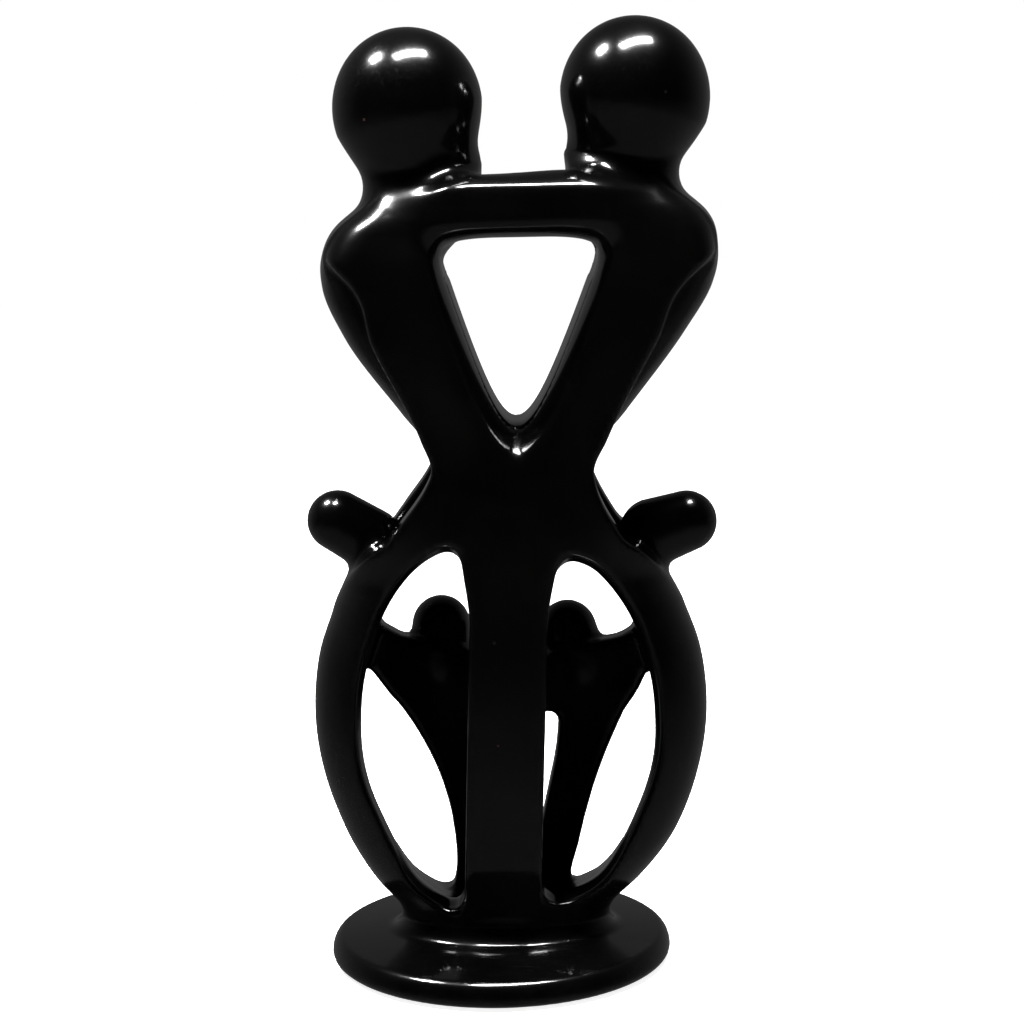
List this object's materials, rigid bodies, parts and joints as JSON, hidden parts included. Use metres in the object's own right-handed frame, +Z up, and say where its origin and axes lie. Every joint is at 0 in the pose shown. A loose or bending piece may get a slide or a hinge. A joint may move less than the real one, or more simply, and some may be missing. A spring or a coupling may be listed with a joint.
{
  "type": "carved stone figure group",
  "caption": "Polished black soapstone family carving: two parents with joined arms over an open cage of legs and smaller figures on a round base.",
  "frame": {"origin": "centre of the round base's flat underside, on the surface it stands on", "axes": "+Z up, the front of the group toward -Y, +X to the right as seen from the front"},
  "size_m": [0.1304, 0.1092, 0.2988],
  "materials": {
    "soapstone": "waxed and polished"
  },
  "bodies": {
    "root": {"family_sculpture": "soapstone"}
  },
  "joints": []
}
